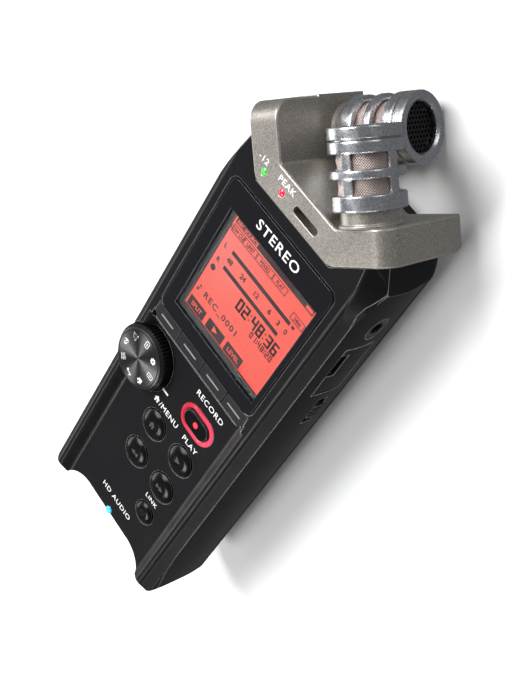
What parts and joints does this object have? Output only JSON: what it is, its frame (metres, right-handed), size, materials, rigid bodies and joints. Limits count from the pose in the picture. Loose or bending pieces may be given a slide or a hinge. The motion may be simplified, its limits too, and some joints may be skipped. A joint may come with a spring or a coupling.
{
  "type": "handheld voice recorder",
  "caption": "Slim handheld stereo voice recorder with crossed microphone capsules in a metal guard, lit display, mode dial, round keys and side controls.",
  "frame": {"origin": "below the middle of the whole recorder, on the plane of the hump that it lies on", "axes": "+X to the right across the display, +Y towards the microphones, +Z out of the display"},
  "size_m": [0.0522, 0.1549, 0.0344],
  "materials": {
    "shell": "fine matte texture, slightly shiny on the edges",
    "control": "satin",
    "plate": "gloss",
    "window": "clear gloss",
    "display_frame": "satin",
    "display": "orange-red lit display",
    "backlight": "orange-red, translucent",
    "record_light": "red, translucent, lit",
    "key": "semi-gloss",
    "soft_key": "gloss",
    "mat": "matte",
    "dial": "satin, with spun rings",
    "component": "matte",
    "blue_light": "translucent, lit",
    "green_light": "translucent, lit",
    "red_light": "translucent, lit",
    "guard": "satin, fine bead-blasted grain",
    "board": "solder mask",
    "cell": "printed wrapper",
    "contact": "bright",
    "tray": "matte",
    "socket": "semi-gloss",
    "insert": "turned",
    "screw": "black oxide",
    "capsule": "polished, fine scratches",
    "mesh": "woven copper-coloured wire",
    "grille": "black, perforated"
  },
  "bodies": {
    "housing": {"front_shell": "shell", "back_shell": "shell", "display_plate": "plate", "display_window": "window", "display_frame": "display_frame", "display_glass": "display", "backlight_panel": "backlight", "record_ring": "record_light", "key_mat": "mat", "dial_encoder": "component", "status_led": "blue_light", "mic_guard": "guard", "level_led": "green_light", "peak_led": "red_light", "main_board": "board", "battery_cell_1": "cell", "battery_cell_2": "cell", "battery_contacts": "contact", "battery_tray": "tray", "phones_jack": "socket", "line_jack": "socket", "card_slot": "contact", "usb_port": "contact", "tripod_insert": "insert", "speaker": "component", "case_screws": "screw", "front_capsule_body": "capsule", "front_capsule_neck": "guard", "front_capsule_sleeve": "mesh", "front_capsule_element": "component", "front_capsule_grille": "grille", "rear_capsule_body": "capsule", "rear_capsule_neck": "guard", "rear_capsule_sleeve": "mesh", "rear_capsule_element": "component", "rear_capsule_grille": "grille"},
    "home_key": {"home_key": "key"},
    "play_key": {"play_key": "key"},
    "rewind_key": {"rewind_key": "key"},
    "forward_key": {"forward_key": "key"},
    "link_key": {"link_key": "key"},
    "record_key": {"record_key": "key"},
    "soft_key_1": {"soft_key_1": "soft_key"},
    "soft_key_2": {"soft_key_2": "soft_key"},
    "soft_key_3": {"soft_key_3": "soft_key"},
    "soft_key_4": {"soft_key_4": "soft_key"},
    "mode_dial": {"mode_dial": "dial"},
    "power_switch": {"power_switch": "control"},
    "volume_rocker": {"volume_rocker": "control"},
    "battery_door": {"battery_door": "shell"},
    "card_door": {"card_door": "shell"}
  },
  "joints": [
    {"name": "home_key_press", "type": "slide", "parent": "housing", "child": "home_key", "axis": [0, 0, -1], "range_m": [0, 0.0004], "stiffness_N_per_m": 1000},
    {"name": "play_key_press", "type": "slide", "parent": "housing", "child": "play_key", "axis": [0, 0, -1], "range_m": [0, 0.0004], "stiffness_N_per_m": 1000},
    {"name": "rewind_key_press", "type": "slide", "parent": "housing", "child": "rewind_key", "axis": [0, 0, -1], "range_m": [0, 0.0004], "stiffness_N_per_m": 1000},
    {"name": "forward_key_press", "type": "slide", "parent": "housing", "child": "forward_key", "axis": [0, 0, -1], "range_m": [0, 0.0004], "stiffness_N_per_m": 1000},
    {"name": "link_key_press", "type": "slide", "parent": "housing", "child": "link_key", "axis": [0, 0, -1], "range_m": [0, 0.0004], "stiffness_N_per_m": 1000},
    {"name": "record_key_press", "type": "slide", "parent": "housing", "child": "record_key", "axis": [0, 0, -1], "range_m": [0, 0.0004], "stiffness_N_per_m": 1000},
    {"name": "soft_key_1_press", "type": "slide", "parent": "housing", "child": "soft_key_1", "axis": [0, 0, -1], "range_m": [0, 0.0004], "stiffness_N_per_m": 1000},
    {"name": "soft_key_2_press", "type": "slide", "parent": "housing", "child": "soft_key_2", "axis": [0, 0, -1], "range_m": [0, 0.0004], "stiffness_N_per_m": 1000},
    {"name": "soft_key_3_press", "type": "slide", "parent": "housing", "child": "soft_key_3", "axis": [0, 0, -1], "range_m": [0, 0.0004], "stiffness_N_per_m": 1000},
    {"name": "soft_key_4_press", "type": "slide", "parent": "housing", "child": "soft_key_4", "axis": [0, 0, -1], "range_m": [0, 0.0004], "stiffness_N_per_m": 1000},
    {"name": "mode_dial_turn", "type": "hinge", "parent": "housing", "child": "mode_dial", "pos_m": [-0.0152, -0.0193, 0.0316], "axis": [0, 0, 1], "range_deg": [-135, 180]},
    {"name": "power_switch_slide", "type": "slide", "parent": "housing", "child": "power_switch", "axis": [0, 1, 0], "range_m": [-0.0015, 0.0015]},
    {"name": "volume_rocker_tilt", "type": "hinge", "parent": "housing", "child": "volume_rocker", "pos_m": [-0.025, 0.0087, 0.0186], "axis": [0, 0, 1], "range_deg": [-1.5, 1.5], "stiffness_Nm_per_rad": 0.05},
    {"name": "battery_door_slide", "type": "slide", "parent": "housing", "child": "battery_door", "axis": [0, -1, 0], "range_m": [0, 0.055]},
    {"name": "card_door_swing", "type": "hinge", "parent": "housing", "child": "card_door", "pos_m": [0.0249, 0.0131, 0.0191], "axis": [0, 0, -1], "range_deg": [0, 100]}
  ]
}
